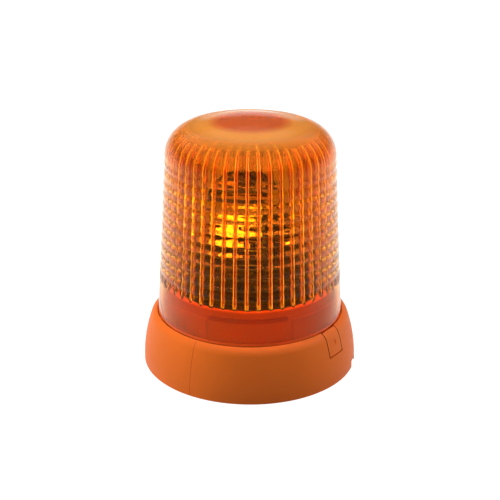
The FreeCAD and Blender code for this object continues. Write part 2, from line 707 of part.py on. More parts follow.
def mesh_phase(driver_teeth, driver_phase, driven_teeth, bearing):
    """Phase of a gear that meshes with a driver, seen from the driver at a bearing from +X."""
    driver_offset = (bearing - driver_phase) * driver_teeth / 360
    return bearing + 180 + (driver_offset + 0.5) * 360 / driven_teeth


RING_PHASE = 90.0
IDLER_SMALL_PHASE = mesh_phase(RING_TEETH, RING_PHASE, SMALL_TEETH, 90)
IDLER_LARGE_PHASE = IDLER_SMALL_PHASE
MOTOR_BEARING = -90 - MOTOR_SWING
MOTOR_PHASE = mesh_phase(IDLER_TEETH, IDLER_LARGE_PHASE, SMALL_TEETH, MOTOR_BEARING)


def ring_gear():
    return gear(RING_TEETH, RING_MODULE, RING_BOTTOM, RING_BOTTOM + RING_WIDTH, HUB_RADIUS, RING_PHASE)


def idler_gear():
    """Large wheel and small pinion moulded in one piece, with a spacer below."""
    bore = IDLER_PIN_RADIUS + RUNNING_GAP
    large = gear(IDLER_TEETH, MOTOR_MODULE, IDLER_BOTTOM, IDLER_MIDDLE, bore, IDLER_LARGE_PHASE)
    small = gear(SMALL_TEETH, RING_MODULE, IDLER_MIDDLE, IDLER_TOP, bore, IDLER_SMALL_PHASE)
    spacer = tube(2 * IDLER_PIN_RADIUS, bore, CHASSIS_TOP + RUNNING_GAP, IDLER_BOTTOM)
    return moved(large.fuse([small, spacer]), IDLER_PLACE)


def motor_pinion():
    pinion = gear(SMALL_TEETH, MOTOR_MODULE, IDLER_BOTTOM, MOTOR_PINION_TOP, MOTOR_SHAFT_RADIUS, MOTOR_PHASE)
    return moved(pinion, MOTOR_PLACE)


# ---- chassis and drive ----
def motor_screw_places():
    return [MOTOR_PLACE + Vector(side * MOTOR_SCREW_SPACING / 2, 0, CHASSIS_TOP) for side in (-1, 1)]


def chassis_plate():
    plate = cylinder(CHASSIS_RADIUS, CHASSIS_BOTTOM, CHASSIS_TOP)
    under, over = CHASSIS_BOTTOM - OVERSHOOT, CHASSIS_TOP + OVERSHOOT
    cuts = around(cylinder(SCREW_RADIUS, under, over, polar(0, POST_PLACE)), POSTS)
    screw_hole = cylinder(SCREW_RADIUS, -CHASSIS_THICKNESS - OVERSHOOT, OVERSHOOT)
    cuts += [moved(screw_hole, place) for place in motor_screw_places()]
    cuts += [cylinder(radius, under, over, place) for radius, place in (
        (MOTOR_BOSS_RADIUS, MOTOR_PLACE), (IDLER_PIN_RADIUS, IDLER_PLACE), (COLUMN_BORE, ORIGIN))]
    return plate.cut(cuts).cut(column_screws())


def chassis_dampers():
    """Rubber bushes between the posts and the chassis."""
    place = polar(0, POST_PLACE)
    hole = cylinder(SCREW_RADIUS, POST_TOP - OVERSHOOT, CHASSIS_BOTTOM + OVERSHOOT, place)
    damper = cylinder(DAMPER_RADIUS, POST_TOP, CHASSIS_BOTTOM, place).cut(hole)
    return Part.makeCompound(around(damper, POSTS))


def chassis_screws():
    length = CHASSIS_THICKNESS + DAMPER_HEIGHT + SCREW_GRIP
    screw = hexagon_screw(SCREW_RADIUS, SCREW_HEAD_RADIUS, SCREW_HEAD_HEIGHT, length)
    return Part.makeCompound(around(moved(screw, polar(0, POST_PLACE, CHASSIS_TOP)), POSTS))


def motor_can():
    """Can with the bearing boss that stands in the hole of the chassis."""
    can = cylinder(MOTOR_RADIUS, CHASSIS_BOTTOM - MOTOR_LENGTH, CHASSIS_BOTTOM, MOTOR_PLACE)
    boss = cylinder(MOTOR_BOSS_RADIUS, CHASSIS_BOTTOM - OVERSHOOT, CHASSIS_TOP, MOTOR_PLACE)
    middle, over = CHASSIS_BOTTOM - MOTOR_LENGTH / 2, CHASSIS_TOP + OVERSHOOT
    bore = cylinder(MOTOR_SHAFT_RADIUS + RUNNING_GAP, middle, over, MOTOR_PLACE)
    tap = cylinder(SCREW_RADIUS, -CHASSIS_THICKNESS - SCREW_GRIP, 0)
    return can.fuse(boss).cut([bore] + [moved(tap, place) for place in motor_screw_places()])


def motor_screws():
    head_radius = SCREW_RADIUS + SMALL_HEAD_EDGE
    screw = hexagon_screw(SCREW_RADIUS, head_radius, SCREW_RADIUS, CHASSIS_THICKNESS + SCREW_GRIP)
    return Part.makeCompound([moved(screw, place) for place in motor_screw_places()])


def motor_shaft():
    bottom = CHASSIS_BOTTOM - MOTOR_LENGTH / 2 + RUNNING_GAP
    return cylinder(MOTOR_SHAFT_RADIUS, bottom, MOTOR_PINION_TOP, MOTOR_PLACE)


def idler_pin():
    """Pin pressed into the chassis, with a groove for its clip above the pinion."""
    groove = IDLER_TOP + RUNNING_GAP
    groove_top, pin_top = groove + CLIP_THICKNESS, groove + 2 * CLIP_THICKNESS
    neck = IDLER_PIN_RADIUS - CLIP_DEPTH
    pin = revolved(
        (0, CHASSIS_BOTTOM), (IDLER_PIN_RADIUS, CHASSIS_BOTTOM), (IDLER_PIN_RADIUS, groove), (neck, groove),
        (neck, groove_top), (IDLER_PIN_RADIUS, groove_top), (IDLER_PIN_RADIUS, pin_top), (0, pin_top),
    )
    return moved(pin, IDLER_PLACE)


def open_clip(outer, inner, bottom, top):
    """Flat retaining clip, open on one side."""
    ring = tube(outer, inner, bottom, top)
    width = CLIP_MOUTH * inner
    mouth = Part.makeBox(outer + OVERSHOOT, width, top - bottom + 2 * OVERSHOOT,
                         Vector(0, -width / 2, bottom - OVERSHOOT))
    return ring.cut(mouth)


def idler_clip():
    groove = IDLER_TOP + RUNNING_GAP
    clip = open_clip(2 * IDLER_PIN_RADIUS, IDLER_PIN_RADIUS - CLIP_DEPTH, groove, groove + CLIP_THICKNESS)
    return moved(clip, IDLER_PLACE)


def column_screws():
    """Three screws through the flange of the column into the chassis."""
    length = COLUMN_FLANGE + CHASSIS_THICKNESS
    head_radius = COLUMN_SCREW_RADIUS + COLUMN_SCREW_EDGE
    screw = hexagon_screw(COLUMN_SCREW_RADIUS, head_radius, COLUMN_SCREW_RADIUS, length)
    place = polar(0, COLUMN_SCREW_CIRCLE / 2, CHASSIS_TOP + COLUMN_FLANGE)
    return Part.makeCompound(around(moved(screw, place), POSTS))


def centre_column():
    """Hollow column that carries the turntable and the lamp; the lamp leads pass through it."""
    flange_top = CHASSIS_TOP + COLUMN_FLANGE
    groove = HUB_TOP + RUNNING_GAP
    inner = COLUMN_RADIUS - CIRCLIP_DEPTH
    column = revolved(
        (COLUMN_BORE, CHASSIS_TOP), (COLUMN_FLANGE_RADIUS, CHASSIS_TOP), (COLUMN_FLANGE_RADIUS, flange_top),
        (COLUMN_RADIUS, flange_top), (COLUMN_RADIUS, groove), (inner, groove),
        (inner, groove + CIRCLIP_THICKNESS),
        (COLUMN_RADIUS, groove + CIRCLIP_THICKNESS), (COLUMN_RADIUS, COLUMN_TOP), (COLUMN_BORE, COLUMN_TOP),
    )
    return column.cut(column_screws())


def thrust_washer():
    bottom = CHASSIS_TOP + COLUMN_FLANGE
    return tube(BUSH_RADIUS + WASHER_OVERHANG, COLUMN_RADIUS, bottom, bottom + WASHER_THICKNESS)


def hub_bush():
    return tube(BUSH_RADIUS, COLUMN_RADIUS + RUNNING_GAP, BUSH_BOTTOM, HUB_TOP)


def column_circlip():
    groove = HUB_TOP + RUNNING_GAP
    return open_clip(CIRCLIP_RADIUS, COLUMN_RADIUS - CIRCLIP_DEPTH, groove, groove + CIRCLIP_THICKNESS)


def drive_cover():
    """Cup over the gears, down over the edge of the chassis."""
    inner_top = COVER_TOP - COVER_THICKNESS
    hole = HUB_RADIUS + COVER_HOLE_GAP
    rim = CHASSIS_RADIUS + COVER_THICKNESS
    return revolved(
        (CHASSIS_RADIUS, CHASSIS_BOTTOM), (rim, CHASSIS_BOTTOM), (rim, inner_top),
        (CHASSIS_RADIUS, COVER_TOP),
        (hole, COVER_TOP), (hole, inner_top), (CHASSIS_RADIUS, inner_top),
    )


def turntable():
    """Disc with a hollow drum on top and a hub that carries the ring gear below."""
    drum_top_radius = DRUM_RADIUS - DRUM_DRAFT
    return revolved(
        (BUSH_RADIUS, RING_BOTTOM), (HUB_RADIUS, RING_BOTTOM), (HUB_RADIUS, HUB_TOP),
        (drum_top_radius - DRUM_WALL, HUB_TOP), (DRUM_RADIUS - DRUM_WALL, TURNTABLE_BOTTOM),
        (TURNTABLE_RADIUS, TURNTABLE_BOTTOM), (TURNTABLE_RADIUS, TURNTABLE_TOP), (DRUM_RADIUS, TURNTABLE_TOP),
        (drum_top_radius, DRUM_TOP), (CIRCLIP_RADIUS + CIRCLIP_CLEARANCE, DRUM_TOP),
        (CIRCLIP_RADIUS + CIRCLIP_CLEARANCE, HUB_TOP), (BUSH_RADIUS, HUB_TOP),
    )


# ---- reflector ----
def reflector_facing(shape):
    """Turn a shape that faces -Y to the resting direction of the reflector."""
    return turned(shape, REFLECTOR_AZIMUTH)


def bowl_point(radius, forward):
    """Point above the optical axis, which points to -Y, at a distance in front of the focus."""
    return Vector(0, -forward, FOCUS_HEIGHT + radius)


def parabola(radius):
    return radius * radius / (4 * FOCAL_LENGTH) - FOCAL_LENGTH


def paraboloid(setback):
    """Solid between the paraboloid, set back along its axis, and the plane of the rim."""
    rim = parabola(REFLECTOR_RADIUS)
    edge = math.sqrt((rim + setback + FOCAL_LENGTH) * 4 * FOCAL_LENGTH)
    samples = 8
    curve = Part.BSplineCurve()
    radii = [edge * k / samples for k in range(samples + 1)]
    curve.interpolate([bowl_point(r, parabola(r) - setback) for r in radii])
    vertex = bowl_point(0, parabola(0) - setback)
    border = Part.makePolygon([bowl_point(edge, rim), bowl_point(0, rim), vertex])
    face = Part.Face(Part.Wire([curve.toShape()] + border.Edges))
    return face.revolve(bowl_point(0, 0), Vector(0, 1, 0), 360)


def reflector_bowl():
    """Paraboloid with its focus in the lamp, a pad behind for the bracket and a window for the lamp."""
    wall_along_axis = REFLECTOR_WALL * math.sqrt(1 + (REFLECTOR_RADIUS / (4 * FOCAL_LENGTH)) ** 2)
    pad = Part.makeCylinder(REFLECTOR_PAD_RADIUS, bracket_face() - FOCAL_LENGTH,
                            bowl_point(0, -bracket_face()), Vector(0, -1, 0))
    under, top = FOCUS_HEIGHT - 2 * REFLECTOR_RADIUS, FOCUS_HEIGHT - REFLECTOR_RADIUS / 3
    window = cylinder(LAMP_WINDOW_RADIUS, under, top)
    shell = paraboloid(wall_along_axis).fuse(pad).cut([paraboloid(0), window])
    return reflector_facing(shell.cut(reflector_screws_unturned()))


def bracket_face():
    """Distance of the bracket's front face behind the column."""
    return FOCAL_LENGTH + REFLECTOR_PAD


def reflector_bracket():
    """Folded strip from the drum of the turntable up behind the bowl."""
    front = bracket_face()
    back = front + BRACKET_THICKNESS
    upright = Part.makeBox(BRACKET_WIDTH, BRACKET_THICKNESS, FOCUS_HEIGHT + REFLECTOR_PAD_RADIUS - DRUM_TOP,
                           Vector(-BRACKET_WIDTH / 2, front, DRUM_TOP))
    start = CIRCLIP_RADIUS + CIRCLIP_CLEARANCE
    foot = Part.makeBox(BRACKET_WIDTH, back - start, BRACKET_THICKNESS,
                        Vector(-BRACKET_WIDTH / 2, start, DRUM_TOP))
    strip = upright.fuse(foot).removeSplitter()
    return reflector_facing(strip.cut(reflector_screws_unturned()))


def reflector_screws_unturned():
    """Two screws from behind through the bracket into the pad of the bowl, which faces -Y here."""
    length = BRACKET_THICKNESS + REFLECTOR_PAD - REFLECTOR_WALL / 2
    screw = hexagon_screw(SCREW_RADIUS, SCREW_RADIUS + SMALL_HEAD_EDGE, SCREW_RADIUS, length)
    screw.rotate(ORIGIN, Vector(1, 0, 0), -90)
    back = bracket_face() + BRACKET_THICKNESS
    return [moved(screw, bowl_point(side * BRACKET_SCREW_SPACING / 2, -back)) for side in (-1, 1)]


def reflector_screws():
    return Part.makeCompound([reflector_facing(screw) for screw in reflector_screws_unturned()])


def balance_weight():
    corner = Vector(-WEIGHT_LENGTH / 2, WEIGHT_INSET - TURNTABLE_RADIUS, TURNTABLE_TOP)
    weight = Part.makeBox(WEIGHT_LENGTH, WEIGHT_DEPTH, WEIGHT_HEIGHT, corner)
    return reflector_facing(weight)


# ---- lamp ----
def lamp_socket():
    cup = cylinder(SOCKET_RADIUS, COLUMN_TOP, SOCKET_TOP)
    return cup.cut(cylinder(BULB_CAP_RADIUS, SOCKET_TOP - BULB_CAP_DEPTH, SOCKET_TOP + OVERSHOOT))


def bulb_base():
    cap = cylinder(BULB_CAP_RADIUS, SOCKET_TOP - BULB_CAP_DEPTH, SOCKET_TOP)
    return cap.fuse(cylinder(BULB_FLANGE_RADIUS, SOCKET_TOP, SOCKET_TOP + BULB_FLANGE)).removeSplitter()


def bulb_glass():
    bottom = SOCKET_TOP + BULB_FLANGE
    tip = BULB_GLASS_RADIUS / 2
    return revolved((0, bottom), (BULB_GLASS_RADIUS, bottom), (BULB_GLASS_RADIUS, BULB_TOP - tip),
                    (tip, BULB_TOP), (0, BULB_TOP))


# ---- wiring ----
def terminal_block():
    block = Part.makeBox(BLOCK_LENGTH, BLOCK_WIDTH, BLOCK_HEIGHT,
                         Vector(-BLOCK_LENGTH / 2, -BLOCK_RADIUS - BLOCK_WIDTH / 2, TUB_FLOOR))
    start = Vector(0, -OVERSHOOT - BLOCK_WIDTH / 2, -BLOCK_HEIGHT / 2)
    holes = [Part.makeCylinder(SCREW_RADIUS, BLOCK_WIDTH + 2 * OVERSHOOT, place + start, Vector(0, 1, 0))
             for place in terminal_places()]
    return turned(block.cut(holes), DRAIN_AZIMUTH)


def terminal_places():
    pitch = BLOCK_LENGTH / TERMINALS
    top = TUB_FLOOR + BLOCK_HEIGHT
    return [Vector((k - (TERMINALS - 1) / 2) * pitch, -BLOCK_RADIUS, top) for k in range(TERMINALS)]


def terminal_screws():
    head_radius = SCREW_RADIUS + TERMINAL_HEAD_EDGE
    heads = [cylinder(head_radius, 0, SCREW_RADIUS, place) for place in terminal_places()]
    return turned(Part.makeCompound(heads), DRAIN_AZIMUTH)


def suppression_choke():
    end = Vector(-CHOKE_LENGTH / 2, -BLOCK_RADIUS, TUB_FLOOR + CHOKE_RADIUS)
    choke = Part.makeCylinder(CHOKE_RADIUS, CHOKE_LENGTH, end, Vector(1, 0, 0))
    return turned(choke, CHOKE_AZIMUTH)


PIECES = {
    "base_housing": base_housing,
    "base_gasket": base_gasket,
    "mounting_inserts": mounting_inserts,
    "cable_grommet": cable_grommet,
    "lock_tab_pin": lambda: tab_pin(TAB_PIN_RADIUS, TAB_PIN_LENGTH),
    "lock_tab": lock_tab,
    "lens_dome": lens_dome,
    "lens_seal": lens_seal,
    "chassis_plate": chassis_plate,
    "chassis_dampers": chassis_dampers,
    "chassis_screws": chassis_screws,
    "motor_can": motor_can,
    "motor_screws": motor_screws,
    "motor_shaft": motor_shaft,
    "motor_pinion": motor_pinion,
    "idler_pin": idler_pin,
    "idler_clip": idler_clip,
    "idler_gear": idler_gear,
    "centre_column": centre_column,
    "column_screws": column_screws,
    "thrust_washer": thrust_washer,
    "column_circlip": column_circlip,
    "drive_cover": drive_cover,
    "ring_gear": ring_gear,
    "hub_bush": hub_bush,
    "turntable": turntable,
    "balance_weight": balance_weight,
    "reflector_bowl": reflector_bowl,
    "reflector_bracket": reflector_bracket,
    "reflector_screws": reflector_screws,
    "lamp_socket": lamp_socket,
    "bulb_base": bulb_base,
    "bulb_glass": bulb_glass,
    "terminal_block": terminal_block,
    "terminal_screws": terminal_screws,
    "suppression_choke": suppression_choke,
}


def main():
    os.makedirs("parts", exist_ok=True)
    for name, make in PIECES.items():
        shape = make()
        shape.exportStep(os.path.join("parts", name + ".step"))
        print(name, len(shape.Solids), round(shape.Volume, 1), shape.isValid())


main()
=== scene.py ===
import math

import bpy
import numpy as np
from mathutils import Matrix, Vector


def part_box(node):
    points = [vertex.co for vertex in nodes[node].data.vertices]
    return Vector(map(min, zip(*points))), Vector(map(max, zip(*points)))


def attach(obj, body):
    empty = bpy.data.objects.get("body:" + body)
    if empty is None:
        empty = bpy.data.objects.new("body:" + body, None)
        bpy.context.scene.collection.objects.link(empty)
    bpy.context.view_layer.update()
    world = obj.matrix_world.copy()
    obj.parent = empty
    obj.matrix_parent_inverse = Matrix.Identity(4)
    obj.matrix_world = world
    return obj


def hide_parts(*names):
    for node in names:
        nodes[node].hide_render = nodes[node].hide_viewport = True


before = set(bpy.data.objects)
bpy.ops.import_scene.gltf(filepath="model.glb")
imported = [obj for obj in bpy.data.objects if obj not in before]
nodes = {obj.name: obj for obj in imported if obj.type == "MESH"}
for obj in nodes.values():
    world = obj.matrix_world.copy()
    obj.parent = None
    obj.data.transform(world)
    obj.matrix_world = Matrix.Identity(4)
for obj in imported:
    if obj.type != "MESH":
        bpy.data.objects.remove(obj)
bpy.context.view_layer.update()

MM = 0.001
FULL_TURN = 2 * math.pi

# ---------------------------------------------------------------- sizes of the lens
FOOT_BOTTOM = 28.4 * MM
FOOT_TOP = 41.9 * MM
SHOULDER = 165.3 * MM
FOOT_RADIUS = 71.6 * MM
CROWN_RADIUS = 64.06 * MM
CORNER = 22.4 * MM
CROWN_RISE = 4.0 * MM
WALL = 3.0 * MM
APEX = SHOULDER + CORNER + CROWN_RISE
RIBS = 48
RIB_PHASE = math.radians(-1.9)
RIB_HEIGHT = 3.4 * MM
RIB_START = 68.5 * MM
RIB_END_RADIUS = 45 * MM
RIB_FADE = 6 * MM
RIB_COLUMNS = np.radians([-3.75, -2.2, -1.1, -0.92, -0.74, 0.0, 0.74, 0.92, 1.1, 2.2])
RIB_STAND = np.array([0, 0, 0, 0.12, 1.0, 1.0, 1.0, 0.12, 0, 0])
RIB_ROWS = np.array([0, 0.03, 0.12, 0.27, 0.5, 0.75, 1.0])
RINGS = np.array([76.0, 83.7, 90.2, 99.3, 108.2, 116.8, 124.9, 132.3, 139.5, 146.4, 152.9, 159.0, 165.3]) * MM
ROWS_PER_PILLOW = 5
PILLOW = 0.45 * MM
SCALLOPS = 11
ROWS_PER_SCALLOP = 6
SCALLOP_PITCH = 8.2 * MM
SCALLOP = 0.8 * MM
LOWEST_GROOVE = SHOULDER - SCALLOPS * SCALLOP_PITCH
JUNCTION = FOOT_TOP - 1 * MM, FOOT_TOP, FOOT_TOP + 1.0 * MM, FOOT_TOP + 1.6 * MM
INNER_WALL_ROWS = 56 * MM, 66 * MM
OUTER_FOOT_ROWS = 33 * MM, 37 * MM
OUTER_WALL_ROWS = 46 * MM, 60 * MM, 67 * MM, 74 * MM
BAYONETS = 3
LUG_START = math.radians(-26.5)
LUG_WIDTH = math.radians(14)
LUG_BAND = 30.5 * MM, 34.5 * MM
LUG_HEIGHT = 2.4 * MM
LUG_EDGE = 0.1 * MM
LOCK_TURN = math.radians(20)
TAB_AZIMUTH = math.radians(54.3)
NOTCH_WIDTH = math.radians(6.4)
NOTCH_EDGE = 34 * MM
NOTCH_TOP = 36 * MM

# shares of dyed body, of the deeper red and of the painted shade on the inner surface, and where they change;
# at the junction the deeper red is painted light
RIB_BODY = 0.36
GROOVE_BODY = 0.06
JUNCTION_BODY = 0.8
PLAIN_BODY = 0.14
PLAIN_DEEP = 0.5
PLAIN_TOP = 66 * MM
CROWN_BODY = 0.85
CROWN_DEEP = 0.35
RIM_RADIUS = 64 * MM
RIM_WIDTH = 24 * MM
MIDDLE_BODY = -0.35
MIDDLE_DEEP = 0.5
MIDDLE_RADIUS = 32 * MM
MIDDLE_WIDTH = 8 * MM
# share of painted shade on the inner surface, below and above a height
INNER_SHADE_BELOW = 0.92
INNER_SHADE_ABOVE = 0.65
INNER_SHADE_STEP = 67 * MM

# ---------------------------------------------------------------- sizes of the lamp
GLASS_WALL = 0.7 * MM
GLASS_ROWS = 12
GLASS_COLUMNS = 48
COIL_RADIUS = 0.8 * MM
COIL_LENGTH = 5 * MM
COIL_TURNS = 9
COIL_STEPS = 24
COIL_BELOW_TOP = 9 * MM
WIRE_RADIUS = 0.12 * MM
WIRE_SIDES = 8
LEAD_SUNK = 0.5 * MM
LEAD_SHORT = 0.3 * MM
LEAD_POINTS = 12

# ---------------------------------------------------------------- marks and painted shade of the housing
MARK_EDGE = 0.2 * MM
PARTING_AZIMUTH = math.radians(-32)
PARTING_LINE = 0.1 * MM
PARTING_RADIUS = 72 * MM
GAP_BESIDE_TAB = 8.1 * MM, 9.2 * MM
GAP_RADIUS = 70 * MM
# height and ends of the band of painted shade across the front of the collar
COLLAR_SHADE_BAND = 57.0 * MM, 60.4 * MM
COLLAR_SHADE_ENDS = -29.5 * MM, 27.5 * MM
COLLAR_RADIUS = 50 * MM
HATCH_AZIMUTH = math.radians(-50.5)
HATCH_PITCH = 1.9 * MM
HATCH_LINE = 0.2 * MM, 0.3 * MM
HATCH_WIDTH = 16 * MM
HATCH_BAND = 43 * MM, 51 * MM

# ---------------------------------------------------------------- studio
CAMERA_LENS = 77.98
CAMERA_SENSOR = 36
CAMERA_PLACE = 0, -0.7729, 0.4035
CAMERA_DOWN = math.radians(22.21)
CAMERA_ROLL = math.radians(0.308)
LAMP_AIM = Vector((0, 0, 0.09))
AMBIENT = (0.0, 0.03), (0.5, 0.03), (0.7, 0.85)
BACKDROP = (0.0, 0.7), (0.1, 0.55), (0.22, 0.12), (0.36, 0.12), (0.52, 0.5)
FLOOR_HALF = 12.0
FLOOR_DROP = 0.0002
FLOOR_GREY = 0.3
FLOOR_GLOW = 0.88


# ---------------------------------------------------------------- meshes
def mesh_object(name, points, faces, smooth=True):
    """Object from an array of points and a list of faces, at the origin."""
    mesh = bpy.data.meshes.new(name)
    mesh.from_pydata(points.tolist(), [], faces)
    mesh.update()
    if smooth:
        mesh.shade_smooth()
    else:
        mesh.shade_flat()
    piece = bpy.data.objects.new(name, mesh)
    bpy.context.scene.collection.objects.link(piece)
    return piece


def point_values(piece, name, grid):
    """Store one number per point of the grid; the two poles take the number of the row beside them."""
    values = np.concatenate([grid.ravel(), grid[0, :1], grid[-1, :1]]).astype(np.float32)
    piece.data.attributes.new(name, "FLOAT", "POINT").data.foreach_set("value", values)


def loop_faces(rows, columns):
    """Quads between neighbouring rows of a grid whose columns run round in a loop."""
    row = np.arange(rows - 1)[:, None] * columns
    here = np.arange(columns)[None, :]
    after = (here + 1) % columns
    quads = np.stack([row + here, row + after, row + columns + after, row + columns + here], axis=-1)
    return quads.reshape(-1, 4).tolist()


def fan_faces(first, columns, pole, flip):
    """Triangles from one row of a looped grid to a pole."""
    here = first + np.arange(columns)
    after = first + (np.arange(columns) + 1) % columns
    poles = np.full(columns, pole)
    order = [after, here, poles] if flip else [here, after, poles]
    return np.stack(order, axis=-1).tolist()


def closed_faces(rows, columns):
    """Faces of a looped grid that two poles close; the poles are the last two points."""
    count = rows * columns
    first = fan_faces(0, columns, count, True)
    last = fan_faces(count - columns, columns, count + 1, False)
    return loop_faces(rows, columns) + first + last


def turned_shell(name, radius, height, azimuth, poles):
    """Closed surface of revolution: radius and height are (rows, columns) arrays, azimuth counts from -Y.

    Poles are the two heights at which the first and the last row close on the axis."""
    grid = np.stack([radius * np.sin(azimuth), -radius * np.cos(azimuth), height], axis=-1)
    ends = np.array([[0, 0, poles[0]], [0, 0, poles[1]]])
    points = np.vstack([grid.reshape(-1, 3), ends])
    return mesh_object(name, points, closed_faces(*radius.shape))


def wire(name, path, radius):
    """Round wire: a circle carried along the points of a path that never runs along X, closed at both ends."""
    along = np.gradient(path, axis=0)
    along /= np.linalg.norm(along, axis=1, keepdims=True)
    side = np.cross(along, (1, 0, 0))
    side /= np.linalg.norm(side, axis=1, keepdims=True)
    across = np.cross(along, side)
    turn = np.arange(WIRE_SIDES) * FULL_TURN / WIRE_SIDES
    ring = np.cos(turn)[None, :, None] * side[:, None] + np.sin(turn)[None, :, None] * across[:, None]
    points = np.vstack([(path[:, None] + radius * ring).reshape(-1, 3), path[:1], path[-1:]])
    return mesh_object(name, points, closed_faces(len(path), WIRE_SIDES))


# ---------------------------------------------------------------- shader nodes
def new_material(name):
    material = bpy.data.materials.new(name)
    material.use_nodes = True
    tree = material.node_tree
    return material, tree, tree.nodes["Principled BSDF"]


def noise(tree, scale, detail=3.0, stretch=(1, 1, 1)):
    """Noise on Object coordinates, stretched along the axes."""
    place = tree.nodes.new("ShaderNodeTexCoord")
    mapping = tree.nodes.new("ShaderNodeMapping")
    mapping.inputs["Scale"].default_value = stretch
    texture = tree.nodes.new("ShaderNodeTexNoise")
    texture.inputs["Scale"].default_value = scale
    texture.inputs["Detail"].default_value = detail
    tree.links.new(place.outputs["Object"], mapping.inputs["Vector"])
    tree.links.new(mapping.outputs["Vector"], texture.inputs["Vector"])
    return texture.outputs["Fac"]


def map_range(tree, value, low, high, to_low, to_high, smooth=False):
    """Value, clamped from low to high, on the scale from to_low to to_high."""
    node = tree.nodes.new("ShaderNodeMapRange")
    node.interpolation_type = "SMOOTHSTEP" if smooth else "LINEAR"
    for name, number in (("From Min", low), ("From Max", high), ("To Min", to_low), ("To Max", to_high)):
        node.inputs[name].default_value = number
    tree.links.new(value, node.inputs["Value"])
    return node.outputs["Result"]


def spread(tree, value, low, high):
    """Map a 0.3 to 0.7 noise onto a range."""
    return map_range(tree, value, 0.3, 0.7, low, high)


def calculate(tree, operation, first, second=None):
    """One step of arithmetic on a socket and, where the step needs it, on a second socket or a number."""
    node = tree.nodes.new("ShaderNodeMath")
    node.operation = operation
    tree.links.new(first, node.inputs[0])
    if isinstance(second, float):
        node.inputs[1].default_value = second
    elif second is not None:
        tree.links.new(second, node.inputs[1])
    return node.outputs["Value"]


def product(tree, first, *others):
    for other in others:
        first = calculate(tree, "MULTIPLY", first, other)
    return first


def between(tree, value, low, high):
    """1 from low to high, falling to 0 over the width of an edge on either side."""
    rise = map_range(tree, value, low - MARK_EDGE, low, 0, 1)
    return product(tree, rise, map_range(tree, value, high, high + MARK_EDGE, 1, 0))


def mixed(tree, share, first, second):
    """From the first colour to the second; each is a socket or the three numbers of a colour."""
    node = tree.nodes.new("ShaderNodeMix")
    node.data_type = "RGBA"
    tree.links.new(share, node.inputs["Factor"])
    for name, colour in (("A", first), ("B", second)):
        if isinstance(colour, tuple):
            node.inputs[name].default_value = (*colour, 1)
        else:
            tree.links.new(colour, node.inputs[name])
    return node.outputs["Result"]


def attribute(tree, name):
    node = tree.nodes.new("ShaderNodeAttribute")
    node.attribute_name = name
    return node.outputs["Fac"]


def bumped(tree, value, depth):
    """Normal of a surface raised by a value between 0 and 1, where 1 stands depth metres high."""
    bump = tree.nodes.new("ShaderNodeBump")
    bump.inputs["Distance"].default_value = depth
    bump.inputs["Strength"].default_value = 1.0
    tree.links.new(value, bump.inputs["Height"])
    return bump.outputs["Normal"]


def measured(tree, direction, output="Object"):
    """How far a point, or its normal, lies along a direction."""
    place = tree.nodes.new("ShaderNodeTexCoord")
    dot = tree.nodes.new("ShaderNodeVectorMath")
    dot.operation = "DOT_PRODUCT"
    dot.inputs[1].default_value = direction
    tree.links.new(place.outputs[output], dot.inputs[0])
    return dot.outputs["Value"]


def directions_at(azimuth):
    """Directions away from the axis and along the tangent at an azimuth."""
    away = math.sin(azimuth), -math.cos(azimuth), 0
    beside = math.cos(azimuth), math.sin(azimuth), 0
    return away, beside


def beyond(tree, away, distance):
    """1 where a point lies farther from the axis than a distance, counted along one direction."""
    return map_range(tree, measured(tree, away), distance, distance + 1 * MM, 0, 1)


# ---------------------------------------------------------------- materials
def moulded_plastic(name, colour, roughness, grain=1400, depth=0.00003, specular=0.45):
    """Moulded plastic: fine spark-eroded grain, slow cloudy colour and uneven gloss."""
    material, tree, shader = new_material(name)
    cloud = spread(tree, noise(tree, 18, 4), 0, 1)
    dark = tuple(c * 0.94 for c in colour)
    light = tuple(min(1, c * 1.06) for c in colour)
    tree.links.new(mixed(tree, cloud, dark, light), shader.inputs["Base Color"])
    gloss = spread(tree, noise(tree, 240, 5), roughness - 0.05, roughness + 0.05)
    tree.links.new(gloss, shader.inputs["Roughness"])
    tree.links.new(bumped(tree, noise(tree, grain, 2), depth), shader.inputs["Normal"])
    shader.inputs["Specular IOR Level"].default_value = specular
    return material


